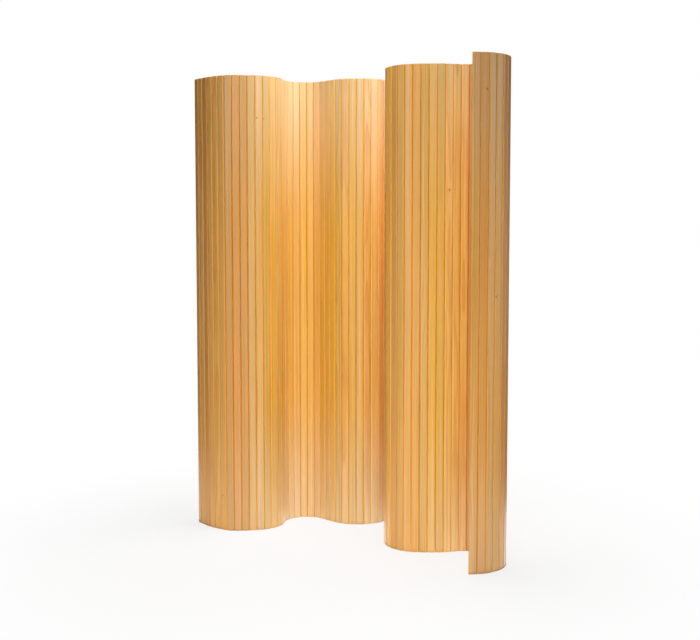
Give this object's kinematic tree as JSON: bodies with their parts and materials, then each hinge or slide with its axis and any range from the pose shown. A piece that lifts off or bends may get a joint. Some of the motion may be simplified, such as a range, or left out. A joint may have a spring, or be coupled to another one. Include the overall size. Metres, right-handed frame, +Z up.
{
  "type": "flexible slatted screen",
  "caption": "Free-standing room divider of upright pine slats on steel cables, set in a serpentine curve; it bends at every joint and rolls up.",
  "frame": {"origin": "on the floor, under the middle of the box round the screen's footprint", "axes": "+Z up, along the slats; +X to the right along the screen from its left end, as seen from the front; +Y away from the front, to the back"},
  "size_m": [0.9886, 0.6112, 1.5],
  "materials": {
    "pine": "clear satin lacquer",
    "steel": "bare stranded wire"
  },
  "bodies": {
    "slat_01": {"slat_01": "pine", "ferrules_left": "steel", "plugs_left": "pine"},
    "slats_02_03": {"slats_02_03": "pine"},
    "slat_04": {"slat_04": "pine"},
    "slats_05_06": {"slats_05_06": "pine"},
    "slat_07": {"slat_07": "pine"},
    "slat_08": {"slat_08": "pine"},
    "slats_09_10": {"slats_09_10": "pine"},
    "slat_11": {"slat_11": "pine"},
    "slat_12": {"slat_12": "pine"},
    "slat_13": {"slat_13": "pine"},
    "slat_14": {"slat_14": "pine"},
    "slats_15_16": {"slats_15_16": "pine"},
    "slat_17": {"slat_17": "pine"},
    "slat_18": {"slat_18": "pine"},
    "slat_19": {"slat_19": "pine"},
    "slat_20": {"slat_20": "pine"},
    "slat_21": {"slat_21": "pine"},
    "slat_22": {"slat_22": "pine"},
    "slats_23_24": {"slats_23_24": "pine"},
    "slat_25": {"slat_25": "pine"},
    "slat_26": {"slat_26": "pine"},
    "slat_27": {"slat_27": "pine"},
    "slats_28_29": {"slats_28_29": "pine"},
    "slats_30_31": {"slats_30_31": "pine"},
    "slats_32_33": {"slats_32_33": "pine"},
    "slats_34_35": {"slats_34_35": "pine"},
    "slats_36_37": {"slats_36_37": "pine"},
    "slats_38_39": {"slats_38_39": "pine"},
    "slats_40_41": {"slats_40_41": "pine", "cables": "steel"},
    "slats_42_43": {"slats_42_43": "pine"},
    "slats_44_45": {"slats_44_45": "pine"},
    "slats_46_47": {"slats_46_47": "pine"},
    "slats_48_49": {"slats_48_49": "pine"},
    "slats_50_51": {"slats_50_51": "pine"},
    "slats_52_53": {"slats_52_53": "pine"},
    "slat_54": {"slat_54": "pine"},
    "slat_55": {"slat_55": "pine"},
    "slat_56": {"slat_56": "pine"},
    "slat_57": {"slat_57": "pine"},
    "slat_58": {"slat_58": "pine"},
    "slat_59": {"slat_59": "pine"},
    "slats_60_61": {"slats_60_61": "pine"},
    "slats_62_63": {"slats_62_63": "pine"},
    "slats_64_65": {"slats_64_65": "pine"},
    "slat_66": {"slat_66": "pine"},
    "slats_67_68": {"slats_67_68": "pine"},
    "slats_69_70": {"slats_69_70": "pine"},
    "slat_71": {"slat_71": "pine"},
    "slat_72": {"slat_72": "pine"},
    "slat_73": {"slat_73": "pine"},
    "slat_74": {"slat_74": "pine"},
    "slat_75": {"slat_75": "pine"},
    "slat_76": {"slat_76": "pine"},
    "slats_77_78": {"slats_77_78": "pine"},
    "slats_79_80": {"slats_79_80": "pine", "ferrules_right": "steel", "plugs_right": "pine"}
  },
  "joints": [
    {"name": "hinge_01_02", "type": "hinge", "parent": "slats_02_03", "child": "slat_01", "pos_m": [-0.47863, 0.2203, 0], "axis": [0, 0, -1], "range_deg": [-41.22, 26.22], "deforming": ["cables"]},
    {"name": "hinge_03_04", "type": "hinge", "parent": "slat_04", "child": "slats_02_03", "pos_m": [-0.4455, 0.18285, 0], "axis": [0, 0, -1], "range_deg": [-40.71, 25.71], "deforming": ["cables"]},
    {"name": "hinge_04_05", "type": "hinge", "parent": "slats_05_06", "child": "slat_04", "pos_m": [-0.42663, 0.16645, 0], "axis": [0, 0, -1], "range_deg": [-40.07, 25.07], "deforming": ["cables"]},
    {"name": "hinge_06_07", "type": "hinge", "parent": "slat_07", "child": "slats_05_06", "pos_m": [-0.38494, 0.13886, 0], "axis": [0, 0, -1], "range_deg": [-53.1, 11.1], "deforming": ["cables"]},
    {"name": "hinge_07_08", "type": "hinge", "parent": "slat_08", "child": "slat_07", "pos_m": [-0.36053, 0.13345, 0], "axis": [0, 0, -1], "range_deg": [-34.85, 6.85], "deforming": ["cables"]},
    {"name": "hinge_08_09", "type": "hinge", "parent": "slats_09_10", "child": "slat_08", "pos_m": [-0.33554, 0.1341, 0], "axis": [0, 0, -1], "range_deg": [-37.96, 24.46], "deforming": ["cables"]},
    {"name": "hinge_10_11", "type": "hinge", "parent": "slat_11", "child": "slats_09_10", "pos_m": [-0.28606, 0.14128, 0], "axis": [0, 0, -1], "range_deg": [-37.55, 24.05], "deforming": ["cables"]},
    {"name": "hinge_11_12", "type": "hinge", "parent": "slat_12", "child": "slat_11", "pos_m": [-0.26191, 0.14774, 0], "axis": [0, 0, -1], "range_deg": [-36.55, 3.55], "deforming": ["cables"]},
    {"name": "hinge_12_13", "type": "hinge", "parent": "slat_13", "child": "slat_12", "pos_m": [-0.24059, 0.16081, 0], "axis": [0, 0, -1], "range_deg": [-31.86, 7.86], "deforming": ["cables"]},
    {"name": "hinge_13_14", "type": "hinge", "parent": "slat_14", "child": "slat_13", "pos_m": [-0.22246, 0.17802, 0], "axis": [0, 0, -1], "range_deg": [-31.68, 7.68], "deforming": ["cables"]},
    {"name": "hinge_14_15", "type": "hinge", "parent": "slats_15_16", "child": "slat_14", "pos_m": [-0.2083, 0.19862, 0], "axis": [0, 0, -1], "range_deg": [-54.96, 3.96], "deforming": ["cables"]},
    {"name": "hinge_16_17", "type": "hinge", "parent": "slat_17", "child": "slats_15_16", "pos_m": [-0.20048, 0.248, 0], "axis": [0, 0, -1], "range_deg": [-10.36, 47.86], "deforming": ["cables"]},
    {"name": "hinge_17_18", "type": "hinge", "parent": "slat_18", "child": "slat_17", "pos_m": [-0.18884, 0.27013, 0], "axis": [0, 0, -1], "range_deg": [-1, 37], "deforming": ["cables"]},
    {"name": "hinge_18_19", "type": "hinge", "parent": "slat_19", "child": "slat_18", "pos_m": [-0.17093, 0.28757, 0], "axis": [0, 0, -1], "range_deg": [-0.84, 36.84], "deforming": ["cables"]},
    {"name": "hinge_19_20", "type": "hinge", "parent": "slat_20", "child": "slat_19", "pos_m": [-0.14851, 0.29863, 0], "axis": [0, 0, -1], "range_deg": [-0.69, 36.69], "deforming": ["cables"]},
    {"name": "hinge_20_21", "type": "hinge", "parent": "slat_21", "child": "slat_20", "pos_m": [-0.12377, 0.30222, 0], "axis": [0, 0, -1], "range_deg": [-0.53, 36.53], "deforming": ["cables"]},
    {"name": "hinge_21_22", "type": "hinge", "parent": "slat_22", "child": "slat_21", "pos_m": [-0.09913, 0.29798, 0], "axis": [0, 0, -1], "range_deg": [-0.39, 36.39], "deforming": ["cables"]},
    {"name": "hinge_22_23", "type": "hinge", "parent": "slats_23_24", "child": "slat_22", "pos_m": [-0.077, 0.28634, 0], "axis": [0, 0, -1], "range_deg": [-9.53, 45.53], "deforming": ["cables"]},
    {"name": "hinge_24_25", "type": "hinge", "parent": "slat_25", "child": "slats_23_24", "pos_m": [-0.04211, 0.25053, 0], "axis": [0, 0, -1], "range_deg": [-29.5, 25], "deforming": ["cables"]},
    {"name": "hinge_25_26", "type": "hinge", "parent": "slat_26", "child": "slat_25", "pos_m": [-0.02398, 0.23332, 0], "axis": [0, 0, -1], "range_deg": [-28.83, 6.83], "deforming": ["cables"]},
    {"name": "hinge_26_27", "type": "hinge", "parent": "slat_27", "child": "slat_26", "pos_m": [-0.0029, 0.21989, 0], "axis": [0, 0, -1], "range_deg": [-28.7, 6.7], "deforming": ["cables"]},
    {"name": "hinge_27_28", "type": "hinge", "parent": "slats_28_29", "child": "slat_27", "pos_m": [0.02037, 0.21072, 0], "axis": [0, 0, -1], "range_deg": [-44.5, 8.5], "deforming": ["cables"]},
    {"name": "hinge_29_30", "type": "hinge", "parent": "slats_30_31", "child": "slats_28_29", "pos_m": [0.07027, 0.20767, 0], "axis": [0, 0, -1], "range_deg": [-59.05, 11.05], "deforming": ["cables"]},
    {"name": "hinge_31_32", "type": "hinge", "parent": "slats_32_33", "child": "slats_30_31", "pos_m": [0.11711, 0.22518, 0], "axis": [0, 0, -1], "range_deg": [-58.55, 10.55], "deforming": ["cables"]},
    {"name": "hinge_33_34", "type": "hinge", "parent": "slats_34_35", "child": "slats_32_33", "pos_m": [0.15277, 0.26023, 0], "axis": [0, 0, -1], "range_deg": [-24.08, 44.08], "deforming": ["cables"]},
    {"name": "hinge_35_36", "type": "hinge", "parent": "slats_36_37", "child": "slats_34_35", "pos_m": [0.19398, 0.28855, 0], "axis": [0, 0, -1], "range_deg": [-2.62, 64.62], "deforming": ["cables"]},
    {"name": "hinge_37_38", "type": "hinge", "parent": "slats_38_39", "child": "slats_36_37", "pos_m": [0.24388, 0.2916, 0], "axis": [0, 0, -1], "range_deg": [-2.18, 64.18], "deforming": ["cables"]},
    {"name": "hinge_39_40", "type": "hinge", "parent": "slats_40_41", "child": "slats_38_39", "pos_m": [0.28823, 0.26851, 0], "axis": [0, 0, -1], "range_deg": [-1.76, 63.76], "deforming": ["cables"]},
    {"name": "hinge_41_42", "type": "hinge", "parent": "slats_40_41", "child": "slats_42_43", "pos_m": [0.31436, 0.22588, 0], "axis": [0, 0, 1], "range_deg": [-1.35, 63.35], "deforming": ["cables"]},
    {"name": "hinge_43_44", "type": "hinge", "parent": "slats_42_43", "child": "slats_44_45", "pos_m": [0.31479, 0.17588, 0], "axis": [0, 0, 1], "range_deg": [-0.96, 62.96], "deforming": ["cables"]},
    {"name": "hinge_45_46", "type": "hinge", "parent": "slats_44_45", "child": "slats_46_47", "pos_m": [0.28942, 0.1328, 0], "axis": [0, 0, 1], "range_deg": [-0.58, 62.58], "deforming": ["cables"]},
    {"name": "hinge_47_48", "type": "hinge", "parent": "slats_46_47", "child": "slats_48_49", "pos_m": [0.24547, 0.10894, 0], "axis": [0, 0, 1], "range_deg": [-12.21, 50.21], "deforming": ["cables"]},
    {"name": "hinge_49_50", "type": "hinge", "parent": "slats_48_49", "child": "slats_50_51", "pos_m": [0.19616, 0.10069, 0], "axis": [0, 0, 1], "range_deg": [-60.86, 0.86], "deforming": ["cables"]},
    {"name": "hinge_51_52", "type": "hinge", "parent": "slats_50_51", "child": "slats_52_53", "pos_m": [0.15758, 0.06889, 0], "axis": [0, 0, 1], "range_deg": [-58.52, 2.52], "deforming": ["cables"]},
    {"name": "hinge_53_54", "type": "hinge", "parent": "slats_52_53", "child": "slat_54", "pos_m": [0.13845, 0.02269, 0], "axis": [0, 0, 1], "range_deg": [-43.62, 1.62], "deforming": ["cables"]},
    {"name": "hinge_54_55", "type": "hinge", "parent": "slat_54", "child": "slat_55", "pos_m": [0.13779, -0.0023, 0], "axis": [0, 0, 1], "range_deg": [-28.89, 0.89], "deforming": ["cables"]},
    {"name": "hinge_55_56", "type": "hinge", "parent": "slat_55", "child": "slat_56", "pos_m": [0.1432, -0.0267, 0], "axis": [0, 0, 1], "range_deg": [-28.81, 0.81], "deforming": ["cables"]},
    {"name": "hinge_56_57", "type": "hinge", "parent": "slat_56", "child": "slat_57", "pos_m": [0.15436, -0.04908, 0], "axis": [0, 0, 1], "range_deg": [-28.74, 0.74], "deforming": ["cables"]},
    {"name": "hinge_57_58", "type": "hinge", "parent": "slat_57", "child": "slat_58", "pos_m": [0.17059, -0.06809, 0], "axis": [0, 0, 1], "range_deg": [-28.66, 0.66], "deforming": ["cables"]},
    {"name": "hinge_58_59", "type": "hinge", "parent": "slat_58", "child": "slat_59", "pos_m": [0.19095, -0.08261, 0], "axis": [0, 0, 1], "range_deg": [-28.59, 0.59], "deforming": ["cables"]},
    {"name": "hinge_59_60", "type": "hinge", "parent": "slat_59", "child": "slats_60_61", "pos_m": [0.21421, -0.09177, 0], "axis": [0, 0, 1], "range_deg": [-36.86, 6.86], "deforming": ["cables"]},
    {"name": "hinge_61_62", "type": "hinge", "parent": "slats_60_61", "child": "slats_62_63", "pos_m": [0.26388, -0.09743, 0], "axis": [0, 0, 1], "range_deg": [-36.98, 20.98], "deforming": ["cables"]},
    {"name": "hinge_63_64", "type": "hinge", "parent": "slats_62_63", "child": "slats_64_65", "pos_m": [0.31387, -0.09612, 0], "axis": [0, 0, 1], "range_deg": [-42.7, 14.7], "deforming": ["cables"]},
    {"name": "hinge_65_66", "type": "hinge", "parent": "slats_64_65", "child": "slat_66", "pos_m": [0.36205, -0.08276, 0], "axis": [0, 0, 1], "range_deg": [-8.55, 34.05], "deforming": ["cables"]},
    {"name": "hinge_66_67", "type": "hinge", "parent": "slat_66", "child": "slats_67_68", "pos_m": [0.38702, -0.08156, 0], "axis": [0, 0, 1], "range_deg": [-1.63, 40.63], "deforming": ["cables"]},
    {"name": "hinge_68_69", "type": "hinge", "parent": "slats_67_68", "child": "slats_69_70", "pos_m": [0.4349, -0.09597, 0], "axis": [0, 0, 1], "range_deg": [-2.03, 54.03], "deforming": ["cables"]},
    {"name": "hinge_70_71", "type": "hinge", "parent": "slats_69_70", "child": "slat_71", "pos_m": [0.47162, -0.12991, 0], "axis": [0, 0, 1], "range_deg": [-1.31, 40.31], "deforming": ["cables"]},
    {"name": "hinge_71_72", "type": "hinge", "parent": "slat_71", "child": "slat_72", "pos_m": [0.48326, -0.15203, 0], "axis": [0, 0, 1], "range_deg": [-0.72, 26.72], "deforming": ["cables"]},
    {"name": "hinge_72_73", "type": "hinge", "parent": "slat_72", "child": "slat_73", "pos_m": [0.48962, -0.17621, 0], "axis": [0, 0, 1], "range_deg": [-0.66, 26.66], "deforming": ["cables"]},
    {"name": "hinge_73_74", "type": "hinge", "parent": "slat_73", "child": "slat_74", "pos_m": [0.49039, -0.2012, 0], "axis": [0, 0, 1], "range_deg": [-0.61, 26.61], "deforming": ["cables"]},
    {"name": "hinge_74_75", "type": "hinge", "parent": "slat_74", "child": "slat_75", "pos_m": [0.48551, -0.22572, 0], "axis": [0, 0, 1], "range_deg": [-0.55, 26.55], "deforming": ["cables"]},
    {"name": "hinge_75_76", "type": "hinge", "parent": "slat_75", "child": "slat_76", "pos_m": [0.47524, -0.24851, 0], "axis": [0, 0, 1], "range_deg": [-0.49, 26.49], "deforming": ["cables"]},
    {"name": "hinge_76_77", "type": "hinge", "parent": "slat_76", "child": "slats_77_78", "pos_m": [0.46011, -0.26841, 0], "axis": [0, 0, 1], "range_deg": [-0.71, 39.71], "deforming": ["cables"]},
    {"name": "hinge_78_79", "type": "hinge", "parent": "slats_77_78", "child": "slats_79_80", "pos_m": [0.41829, -0.29583, 0], "axis": [0, 0, 1], "range_deg": [-0.82, 52.82], "deforming": ["cables"]}
  ]
}
